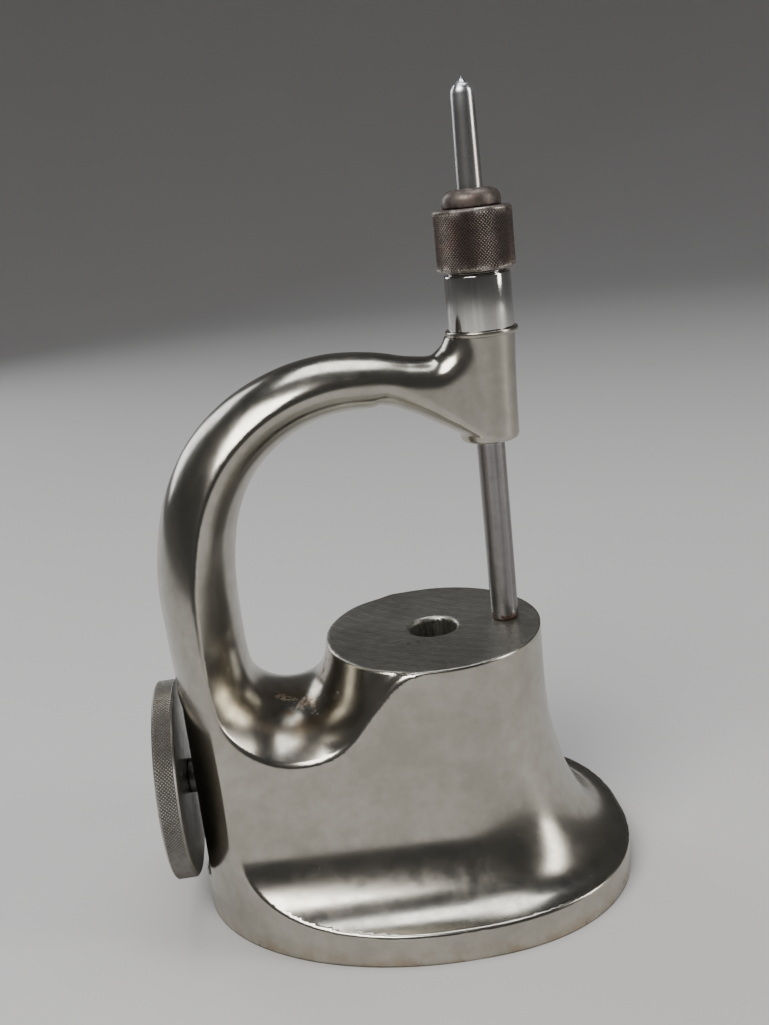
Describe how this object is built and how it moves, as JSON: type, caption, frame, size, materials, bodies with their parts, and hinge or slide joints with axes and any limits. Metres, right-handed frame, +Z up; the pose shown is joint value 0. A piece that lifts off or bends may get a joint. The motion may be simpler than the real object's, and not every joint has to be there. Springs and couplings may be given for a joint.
{
  "type": "staking stand with centring punch",
  "caption": "Jeweller's staking stand: nickel-plated C-frame with a friction-held centre punch over a round bored table and a rear thumb wheel that locks a die stem.",
  "frame": {"origin": "where the axis of the table's die bore meets the surface that the stand rests on", "axes": "+Z up along the die bore, +X from the bore towards the punch, Y across the stand"},
  "size_m": [0.0804, 0.06, 0.1339],
  "materials": {
    "nickel_plate": "polished nickel plate over cast iron, machined matte on the table",
    "polished_steel": "ground and polished",
    "tool_steel": "hardened and drawn, lengthwise polish",
    "browned_steel": "browned with old rust, worn bright at the edges",
    "knurled_steel": "turned, with a knurled edge",
    "dark_steel": "turned steel",
    "brass": "turned brass"
  },
  "bodies": {
    "stand": {"frame": "nickel_plate", "guide_sleeve": "polished_steel"},
    "collet": {"friction_collet": "dark_steel", "collet_cap": "browned_steel", "thrust_washer": "brass"},
    "nut": {"collet_nut": "browned_steel"},
    "punch": {"centre_punch": "tool_steel"},
    "shoe": {"clamp_shoe": "brass", "shoe_pin": "dark_steel"},
    "wheel": {"clamp_screw": "dark_steel", "clamp_wheel": "knurled_steel", "wheel_key": "dark_steel"}
  },
  "joints": [
    {"name": "punch_slide", "type": "slide", "parent": "stand", "child": "punch", "axis": [0, 0, 1], "range_m": [0, 0.03]},
    {"name": "collet_lift", "type": "slide", "parent": "stand", "child": "collet", "axis": [0, 0, 1], "range_m": [0, 0.0005]},
    {"name": "nut_turn", "type": "hinge", "parent": "collet", "child": "nut", "pos_m": [0.01275, 0, 0.1097], "axis": [0, 0, 1], "range_deg": [0, 240.5]},
    {"name": "shoe_travel", "type": "slide", "parent": "stand", "child": "shoe", "axis": [1, 0, 0], "range_m": [-0.00081, 0.00081]},
    {"name": "wheel_turn", "type": "hinge", "parent": "shoe", "child": "wheel", "pos_m": [-0.04735, 0, 0.0237], "axis": [1, 0, 0], "range_deg": [-360, 360]}
  ],
  "couplings": [
    {"joint": "nut_turn", "follows": "collet_lift", "rad_per_m": 8377.6},
    {"joint": "shoe_travel", "follows": "wheel_turn", "m_per_rad": 0.00012732}
  ]
}
